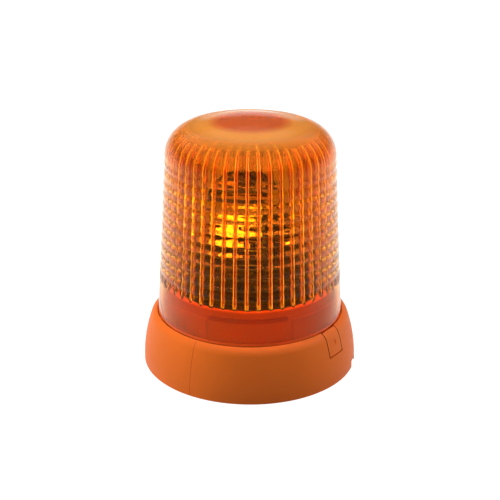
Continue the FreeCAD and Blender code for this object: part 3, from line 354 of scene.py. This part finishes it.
def housing_plastic():
    """Housing orange with four marks, two of them painted shade, each placed by height, by the way out from the
    axis and by the tangent.

    The parting line of the mould lies on an upright plane through the axis. The gaps beside the lock tab carry
    painted shade on faces that look along the tangent. The collar has painted shade at the front, a dark red
    band, and a row of short upright marks on the left."""
    material = moulded_plastic("housing_orange", (0.80, 0.155, 0.014), 0.5, depth=0.00001, specular=0.2)
    tree = material.node_tree
    painted = tree.nodes["Principled BSDF"].inputs["Base Color"]
    colour = painted.links[0].from_socket
    height = measured(tree, (0, 0, 1))

    away, beside = directions_at(PARTING_AZIMUTH)
    across = calculate(tree, "ABSOLUTE", measured(tree, beside))
    line = map_range(tree, across, PARTING_LINE, PARTING_LINE + MARK_EDGE, 1, 0)
    line = product(tree, line, beyond(tree, away, PARTING_RADIUS))
    colour = mixed(tree, line, colour, (0.5, 0.07, 0.008))

    # painted shade in the gaps beside the lock tab, on faces that look along the tangent
    away, beside = directions_at(TAB_AZIMUTH)
    across = calculate(tree, "ABSOLUTE", measured(tree, beside))
    near = product(tree, between(tree, across, *GAP_BESIDE_TAB), beyond(tree, away, GAP_RADIUS))
    turned = calculate(tree, "ABSOLUTE", measured(tree, beside, "Normal"))
    shade = product(tree, near, map_range(tree, turned, 0.8, 0.9, 0, 1))
    colour = mixed(tree, shade, colour, (0.12, 0.01, 0.002))

    # painted shade: a dark red band across the front of the collar
    away, beside = directions_at(0.0)
    ends = between(tree, measured(tree, beside), *COLLAR_SHADE_ENDS)
    collar_shade = product(tree, between(tree, height, *COLLAR_SHADE_BAND), ends, beyond(tree, away, COLLAR_RADIUS))
    colour = mixed(tree, collar_shade, colour, (0.52, 0.008, 0.008))

    away, beside = directions_at(HATCH_AZIMUTH)
    across = measured(tree, beside)
    to_next = calculate(tree, "PINGPONG", across, HATCH_PITCH / 2)
    row = between(tree, across, -HATCH_WIDTH / 2, HATCH_WIDTH / 2)
    hatch = product(tree, map_range(tree, to_next, *HATCH_LINE, 1, 0), row,
                    between(tree, height, *HATCH_BAND), beyond(tree, away, COLLAR_RADIUS))
    colour = mixed(tree, hatch, colour, (0.25, 0.008, 0.004))
    tree.links.new(colour, painted)
    return material


def worked_metal(name, colour, roughness, stretch=(1, 1, 1), scale=400, depth=0.00001):
    """Metal with the fine marks of its working, drawn out along one direction by stretch."""
    material, tree, shader = new_material(name)
    marks = noise(tree, scale, 4, stretch)
    dark = tuple(c * 0.86 for c in colour)
    tree.links.new(mixed(tree, spread(tree, marks, 0, 1), dark, colour), shader.inputs["Base Color"])
    tree.links.new(spread(tree, marks, roughness - 0.06, roughness + 0.08), shader.inputs["Roughness"])
    tree.links.new(bumped(tree, marks, depth), shader.inputs["Normal"])
    shader.inputs["Metallic"].default_value = 1.0
    return material


def let_lamps_through(tree, shader, tint=None):
    """Rays towards the lamps pass straight through the wall and take its tint."""
    path = tree.nodes.new("ShaderNodeLightPath")
    clear = tree.nodes.new("ShaderNodeBsdfTransparent")
    if tint:
        tree.links.new(tint, clear.inputs["Color"])
    mix = tree.nodes.new("ShaderNodeMixShader")
    tree.links.new(path.outputs["Is Shadow Ray"], mix.inputs["Fac"])
    tree.links.new(shader.outputs["BSDF"], mix.inputs[1])
    tree.links.new(clear.outputs["BSDF"], mix.inputs[2])
    tree.links.new(mix.outputs["Shader"], tree.nodes["Material Output"].inputs["Surface"])


def amber_plastic():
    """Amber: clear where one looks straight into it, with a body of dyed orange at a slant and in the ribs. The
    ribs
    carry painted light: a yellow painted highlight on their flanks and a dark red painted shade on their crests.

    The attribute body is the share of dyed body, inside is the share of the dark inner tint, which is painted
    shade seen through the wall, crest is 1 on top of the ribs and deep is the share of a deeper red on the crown,
    more in its middle, on the plain band above the foot and on the ring where foot and wall meet, where it is
    painted light, a red line."""
    material, tree, shader = new_material("amber_plastic")
    body = attribute(tree, "body")
    inside = attribute(tree, "inside")
    # the dark second colour is painted shade on the inner surface, laid on by the share inside
    skin = mixed(tree, inside, (1.0, 0.48, 0.05), (0.06, 0.015, 0.002))
    # deeper red; on the ring where foot and wall meet it is painted light, a red line
    skin = mixed(tree, attribute(tree, "deep"), skin, (0.95, 0.12, 0.015))
    # painted light on the ribs: a yellow painted highlight on the flanks, a dark red painted shade on the crests
    rib = mixed(tree, attribute(tree, "crest"), (1.0, 0.68, 0.06), (0.35, 0.015, 0.002))
    on_rib = map_range(tree, product(tree, body, inside), 0, 0.7 * RIB_BODY, 0, 1)
    tree.links.new(mixed(tree, on_rib, skin, rib), shader.inputs["Base Color"])
    shader.inputs["IOR"].default_value = 1.5
    shader.inputs["Specular Tint"].default_value = (0.3, 0.16, 0.07, 1)
    ripple = noise(tree, 60, 2)
    tree.links.new(spread(tree, ripple, 0.015, 0.05), shader.inputs["Roughness"])
    tree.links.new(bumped(tree, ripple, 0.0003), shader.inputs["Normal"])
    slant = tree.nodes.new("ShaderNodeLayerWeight")
    slant.inputs["Blend"].default_value = 0.5
    straight = map_range(tree, slant.outputs["Facing"], 0.66, 0.95, 0.99, 0.58, smooth=True)
    clear = map_range(tree, body, 0, 1, 1.0, 0.1)
    tree.links.new(product(tree, straight, clear), shader.inputs["Transmission Weight"])
    let_lamps_through(tree, shader, mixed(tree, inside, (1.0, 0.85, 0.4), (0.9, 0.6, 0.2)))
    return material


def lamp_glass():
    """Clear glass with a faint unevenness of gloss."""
    material, tree, shader = new_material("lamp_glass")
    shader.inputs["Base Color"].default_value = (0.98, 0.98, 0.98, 1)
    shader.inputs["Transmission Weight"].default_value = 1.0
    shader.inputs["IOR"].default_value = 1.46
    tree.links.new(spread(tree, noise(tree, 200), 0.0, 0.03), shader.inputs["Roughness"])
    let_lamps_through(tree, shader)
    return material


def metallised():
    """Vacuum-metallised bowl: a mirror with a faint orange-peel ripple."""
    material, tree, shader = new_material("metallised")
    shader.inputs["Metallic"].default_value = 1.0
    ripple = noise(tree, 130, 2)
    tree.links.new(mixed(tree, ripple, (0.86, 0.86, 0.84), (0.94, 0.94, 0.93)), shader.inputs["Base Color"])
    tree.links.new(spread(tree, ripple, 0.04, 0.10), shader.inputs["Roughness"])
    tree.links.new(bumped(tree, ripple, 0.0001), shader.inputs["Normal"])
    return material


def paint_cad_nodes():
    """Give each node of the frame its finish."""
    orange = housing_plastic()
    rubber = moulded_plastic("black_rubber", (0.02, 0.02, 0.02), 0.75, grain=700, specular=0.3)
    black = moulded_plastic("black_plastic", (0.012, 0.011, 0.011), 0.45, specular=0.15)
    acetal = moulded_plastic("white_acetal", (0.78, 0.76, 0.68), 0.35)
    nylon = moulded_plastic("natural_nylon", (0.74, 0.72, 0.64), 0.5)
    ferrite = moulded_plastic("ferrite_grey", (0.06, 0.06, 0.065), 0.6, grain=300)
    steel = worked_metal("plated_steel", (0.62, 0.62, 0.64), 0.32)
    can = worked_metal("drawn_can", (0.58, 0.58, 0.6), 0.36, stretch=(1, 1, 0.08))
    cast = worked_metal("die_cast", (0.55, 0.55, 0.56), 0.5, scale=900, depth=0.00004)
    brass = worked_metal("turned_brass", (0.78, 0.57, 0.27), 0.28, stretch=(1, 1, 12), scale=120)
    finishes = {
        orange: ["base_housing", "lock_tab"],
        rubber: ["base_gasket", "cable_grommet", "lens_seal", "chassis_dampers"],
        black: ["chassis_plate", "drive_cover", "turntable", "balance_weight", "lamp_socket"],
        acetal: ["ring_gear", "idler_gear"],
        nylon: ["terminal_block"],
        ferrite: ["suppression_choke"],
        steel: ["lock_tab_pin", "chassis_screws", "motor_screws", "motor_shaft", "idler_pin", "idler_clip",
                "column_screws", "column_circlip", "reflector_bracket", "reflector_screws",
                "terminal_screws"],
        can: ["motor_can"],
        cast: ["centre_column"],
        brass: ["mounting_inserts", "motor_pinion", "thrust_washer", "hub_bush", "bulb_base"],
        metallised(): ["reflector_bowl"],
        amber: ["lens_dome"],
    }
    for material, names in finishes.items():
        for name in names:
            for slot in nodes[name].material_slots:
                slot.link = "OBJECT"
                slot.material = material


# ---------------------------------------------------------------- lens
def wall_radius(z, inset):
    """Outer radius of the tapered wall, less the inset."""
    share = np.clip((z - FOOT_TOP) / (SHOULDER - FOOT_TOP), 0, 1)
    return FOOT_RADIUS + (CROWN_RADIUS - FOOT_RADIUS) * share - inset


def dome_profile(inset, heights, corner_rows, crown_rows):
    """Radius, height and outward normal down the middle of the lens: wall, quarter circle, shallow sphere."""
    corner = CORNER - inset
    middle = CROWN_RADIUS - CORNER
    sphere = (middle ** 2 + CROWN_RISE ** 2) / (2 * CROWN_RISE)
    turn = np.linspace(0, math.pi / 2, corner_rows + 1)[1:]
    lift = np.linspace(math.asin(middle / sphere), 0, crown_rows + 1)[1:-1]
    apex = SHOULDER + corner + CROWN_RISE
    radius = np.concatenate([wall_radius(heights, inset), middle + corner * np.cos(turn), sphere * np.sin(lift)])
    height = np.concatenate([heights, SHOULDER + corner * np.sin(turn), apex - sphere * (1 - np.cos(lift))])
    across = np.concatenate([np.ones_like(heights), np.cos(turn), np.sin(lift)])
    along = np.concatenate([np.zeros_like(heights), np.sin(turn), np.cos(lift)])
    return radius, height, across, along


def rib_columns():
    """Azimuths of the columns: ten to each rib, crowded on its flanks, and how far each stands up the rib."""
    azimuth = (np.arange(RIBS)[:, None] * FULL_TURN / RIBS + RIB_PHASE + RIB_COLUMNS).ravel()
    return azimuth, np.tile(RIB_STAND, RIBS)


def rib_height(radius, height):
    """A rib rises from the wall on a quarter circle, follows it at full height and fades out under the crown."""
    foot = np.clip((height - RIB_START) / RIB_HEIGHT, 0, 1)
    rise = np.sqrt(1 - (1 - foot) ** 2)
    fade = np.clip((radius - RIB_END_RADIUS) / RIB_FADE, 0, 1)
    fade = np.where(height > SHOULDER, fade * fade * (3 - 2 * fade), 1)
    return RIB_HEIGHT * rise * fade


def pillow_height(height):
    """Between two rings the inside of the wall bulges in a parabola."""
    zone = np.clip(np.searchsorted(RINGS, height, side="right") - 1, 0, len(RINGS) - 2)
    low, high = RINGS[zone], RINGS[zone + 1]
    share = (height - low) / (high - low)
    bulge = PILLOW * 4 * share * (1 - share)
    return np.where((height >= RINGS[0]) & (height <= RINGS[-1]), bulge, 0)


def within(azimuth, start, width):
    return ((azimuth - start) % FULL_TURN) <= width


def lens_inside(azimuth, stand):
    """Inner surface from the foot up: lugs, then ribs and pillows laid on the offset profile."""
    lug_low, lug_high = LUG_BAND
    foot = [FOOT_BOTTOM, lug_low - LUG_EDGE, lug_low, lug_high, lug_high + LUG_EDGE, FOOT_TOP, *INNER_WALL_ROWS]
    rise = RIB_START + RIB_HEIGHT * RIB_ROWS
    shares = np.linspace(0, 1, ROWS_PER_PILLOW + 1)[:-1]
    zones = (RINGS[:-1, None] + np.diff(RINGS)[:, None] * shares).ravel()
    heights = np.concatenate([foot, rise, zones, [SHOULDER]])
    radius, height, across, along = dome_profile(WALL, heights, corner_rows=13, crown_rows=8)
    rib = rib_height(radius, height)[:, None] * stand
    inward = np.maximum(rib, pillow_height(height)[:, None])
    lug = np.any([within(azimuth, LUG_START + k * FULL_TURN / BAYONETS, LUG_WIDTH)
                  for k in range(BAYONETS)], axis=0)
    lug_rows = (height >= lug_low) & (height <= lug_high)
    inward = inward + LUG_HEIGHT * (lug_rows[:, None] & lug[None, :])
    return radius[:, None] - across[:, None] * inward, height[:, None] - along[:, None] * inward


def lens_outside(azimuth):
    """Outer surface from the foot up, with shallow grooves from 75 mm to the shoulder, and where these lie."""
    ringed = LOWEST_GROOVE + SCALLOP_PITCH / ROWS_PER_SCALLOP * np.arange(SCALLOPS * ROWS_PER_SCALLOP)
    foot = [FOOT_BOTTOM, *OUTER_FOOT_ROWS, *JUNCTION, *OUTER_WALL_ROWS]
    heights = np.concatenate([foot, ringed, [SHOULDER]])
    radius, height, _, _ = dome_profile(0, heights, corner_rows=14, crown_rows=9)
    wave = np.abs(np.sin(math.pi * (height - LOWEST_GROOVE) / SCALLOP_PITCH))
    dip = np.where((height >= LOWEST_GROOVE) & (height < SHOULDER), SCALLOP * (1 - wave), 0)
    ones = np.ones_like(azimuth)
    groove = (dip > 0.9 * SCALLOP).astype(float)
    return (radius - dip)[:, None] * ones, height[:, None] * ones, groove[:, None]


def notched(height, azimuth):
    """Lift the edge of the foot over the two notches for the lock tab."""
    notch = np.any([within(azimuth, TAB_AZIMUTH + turn - NOTCH_WIDTH / 2, NOTCH_WIDTH)
                    for turn in (0, LOCK_TURN)], axis=0)
    share = (height - FOOT_BOTTOM) / (NOTCH_TOP - FOOT_BOTTOM)
    lifted = NOTCH_EDGE + share * (NOTCH_TOP - NOTCH_EDGE)
    return np.where(notch[None, :] & (height < NOTCH_TOP), lifted, height)


def store_dye_and_painted_light(lens, stand, inner, outer, grooves):
    """Store the shares of dye, of painted shade and of painted light that the amber reads; inner and outer are the
    radii and heights of the two grids.
    """
    inner_radius, inner_height = (part[::-1] for part in inner)
    radius, height = outer
    rim = np.clip((RIM_RADIUS - radius) / RIM_WIDTH, 0, 1)
    middle = np.clip((MIDDLE_RADIUS - radius) / MIDDLE_WIDTH, 0, 1)
    crown = (CROWN_BODY * rim + MIDDLE_BODY * middle) * (height > SHOULDER)
    # the ring where foot and wall meet: with body and deep it carries a painted red line of light
    junction = ((height > JUNCTION[0]) & (height < JUNCTION[-1])).astype(float)
    plain = ((height >= JUNCTION[-1]) & (height < PLAIN_TOP)).astype(float)
    ribbed = rib_height(inner_radius, inner_height) / RIB_HEIGHT * (stand > 0)
    skin = crown + GROOVE_BODY * grooves + JUNCTION_BODY * junction + PLAIN_BODY * plain
    # painted shade on the inner surface: a larger share below the step, over the collar, than above it
    inner_shade = np.where(inner_height > INNER_SHADE_STEP, INNER_SHADE_ABOVE, INNER_SHADE_BELOW)
    deep = np.where(height > SHOULDER, CROWN_DEEP + MIDDLE_DEEP * middle, junction + PLAIN_DEEP * plain)
    point_values(lens, "body", np.vstack([RIB_BODY * ribbed, skin]))
    point_values(lens, "inside", np.vstack([inner_shade, np.zeros_like(skin)]))
    point_values(lens, "deep", np.vstack([np.zeros_like(inner_height), deep]))
    point_values(lens, "crest", np.vstack([ribbed * (stand == 1), np.zeros_like(skin)]))


def build_lens():
    """One closed grid: down the inside from the crown, round the foot and up the outside."""
    azimuth, stand = rib_columns()
    inner_radius, inner_height = lens_inside(azimuth, stand)
    outer_radius, outer_height, grooves = lens_outside(azimuth)
    radius = np.vstack([inner_radius[::-1], outer_radius])
    height = np.vstack([notched(inner_height, azimuth)[::-1], notched(outer_height, azimuth)])
    lens = turned_shell("lens_shell", radius, height, azimuth, poles=(APEX - WALL, APEX))
    lens.data.materials.append(amber)
    store_dye_and_painted_light(lens, stand, (inner_radius, inner_height), (outer_radius, outer_height), grooves)
    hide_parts("lens_dome")
    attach(lens, "lens")


# ---------------------------------------------------------------- lamp
def build_envelope(bottom, top, outer):
    """Hollow glass tube closed by a half sphere."""
    rise = np.linspace(0, math.pi / 2, GLASS_ROWS + 1)[1:-1]
    inner, skin = [], []
    for part, bore in ((inner, outer - GLASS_WALL), (skin, outer)):
        part.append(np.concatenate([[bore] * 2, bore * np.cos(rise)]))
        part.append(np.concatenate([[bottom, top - outer], top - outer + bore * np.sin(rise)]))
    azimuth = np.arange(GLASS_COLUMNS) * FULL_TURN / GLASS_COLUMNS
    across = np.ones_like(azimuth)
    radius, height = (np.concatenate([inside[::-1], outside])[:, None] * across
                      for inside, outside in zip(inner, skin))
    return turned_shell("bulb_envelope", radius, height, azimuth, poles=(top - GLASS_WALL, top))


def build_filament(bottom, top):
    """Coil across the focus, on two upright leads."""
    share = np.linspace(0, 1, COIL_STEPS * COIL_TURNS + 1)
    angle = share * COIL_TURNS * FULL_TURN - math.pi / 2
    coil = np.stack([COIL_LENGTH * (share - 0.5), COIL_RADIUS * np.cos(angle), COIL_RADIUS * np.sin(angle)], -1)
    coil = coil + [0, 0, top - COIL_BELOW_TOP]
    climb = np.linspace(bottom - LEAD_SUNK, coil[0, 2] - LEAD_SHORT, LEAD_POINTS)
    lead = np.stack([np.full_like(climb, coil[0, 0]), np.zeros_like(climb), climb], -1)
    return wire("bulb_filament", np.vstack([lead, coil, (lead * [-1, 1, 1])[::-1]]), WIRE_RADIUS)


def build_bulb():
    """Glass envelope and filament of the lamp, in the box of its solid."""
    low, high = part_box("bulb_glass")
    glass = build_envelope(low[2], high[2], high[0])
    glass.data.materials.append(lamp_glass())
    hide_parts("bulb_glass")
    filament = build_filament(low[2], high[2])
    filament.data.materials.append(worked_metal("tungsten", (0.42, 0.42, 0.43), 0.4, scale=2000))
    for piece in (glass, filament):
        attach(piece, "base")


# ---------------------------------------------------------------- studio
def build_camera():
    camera = bpy.data.cameras.new("camera")
    camera.lens = CAMERA_LENS
    camera.sensor_width = CAMERA_SENSOR
    holder = bpy.data.objects.new("camera", camera)
    bpy.context.scene.collection.objects.link(holder)
    holder.location = CAMERA_PLACE
    holder.rotation_mode = "XYZ"
    turn = Matrix.Rotation(math.pi / 2 - CAMERA_DOWN, 4, "X") @ Matrix.Rotation(CAMERA_ROLL, 4, "Z")
    holder.rotation_euler = turn.to_euler()
    bpy.context.scene.camera = holder


def area_light(name, place, size, power, behind_glass=False):
    """Soft lamp aimed at the object. A lamp behind_glass is met only by rays that passed through the lens."""
    light = bpy.data.lights.new(name, "AREA")
    light.shape = "RECTANGLE"
    light.size, light.size_y = size
    light.energy = power
    holder = bpy.data.objects.new(name, light)
    holder.visible_glossy = False
    holder.visible_transmission = behind_glass
    holder.visible_diffuse = not behind_glass
    bpy.context.scene.collection.objects.link(holder)
    holder.location = place
    holder.rotation_euler = (LAMP_AIM - Vector(place)).to_track_quat("-Z", "Y").to_euler()


def level_ramp(tree, height, stops):
    """Grey level by the height of a direction."""
    ramp = tree.nodes.new("ShaderNodeValToRGB")
    ramp.color_ramp.interpolation = "EASE"
    elements = ramp.color_ramp.elements
    while len(elements) < len(stops):
        elements.new(0.5)
    for element, (position, level) in zip(elements, stops):
        element.position = position
        element.color = (level, level, level, 1)
    tree.links.new(height, ramp.inputs["Fac"])
    return ramp.outputs["Color"]


def seen_rays(tree):
    """1 for rays from the camera, from gloss and through glass."""
    path = tree.nodes.new("ShaderNodeLightPath").outputs
    seen = calculate(tree, "MAXIMUM", path["Is Camera Ray"], path["Is Glossy Ray"])
    return calculate(tree, "MAXIMUM", seen, path["Is Transmission Ray"])


def build_world():
    """Studio air by height: dim sides under a ceiling cloth, and a pale backdrop that only rays from the camera,
    glass and gloss see."""
    world = bpy.data.worlds.new("studio")
    bpy.context.scene.world = world
    world.use_nodes = True
    tree = world.node_tree
    place = tree.nodes.new("ShaderNodeTexCoord")
    parts = tree.nodes.new("ShaderNodeSeparateXYZ")
    tree.links.new(place.outputs["Generated"], parts.inputs["Vector"])
    lit = level_ramp(tree, parts.outputs["Z"], AMBIENT)
    seen = level_ramp(tree, parts.outputs["Z"], BACKDROP)
    tree.links.new(mixed(tree, seen_rays(tree), lit, seen), tree.nodes["Background"].inputs["Color"])


def build_floor():
    """Pale floor: it keeps the shadow of the object, and looks white to the camera, to glass and to metal."""
    corners = np.array([[-1, -1, 0], [1, -1, 0], [1, 1, 0], [-1, 1, 0]]) * FLOOR_HALF
    floor = mesh_object("floor", corners - [0, 0, FLOOR_DROP], [(0, 1, 2, 3)], smooth=False)
    material, tree, shader = new_material("floor_paper")
    shader.inputs["Base Color"].default_value = (FLOOR_GREY, FLOOR_GREY, FLOOR_GREY, 1)
    shader.inputs["Roughness"].default_value = 0.9
    shader.inputs["Specular IOR Level"].default_value = 0.1
    shader.inputs["Emission Color"].default_value = (1, 1, 1, 1)
    glow = product(tree, seen_rays(tree), FLOOR_GLOW)
    tree.links.new(glow, shader.inputs["Emission Strength"])
    floor.data.materials.append(material)


amber = amber_plastic()
paint_cad_nodes()
build_lens()
build_bulb()
build_camera()
build_world()
build_floor()
area_light("key_left", place=(-0.95, -0.05, 0.40), size=(0.8, 0.8), power=8.5)
area_light("fill_right", place=(0.95, 0.15, 0.40), size=(0.8, 0.8), power=4.5)
area_light("top_cloth", place=(0.0, 0.1, 1.2), size=(0.8, 0.8), power=3)
area_light("front_cloth", place=(0.0, -0.80, 0.95), size=(2.2, 1.3), power=170, behind_glass=True)
bpy.context.scene.view_settings.view_transform = "Standard"
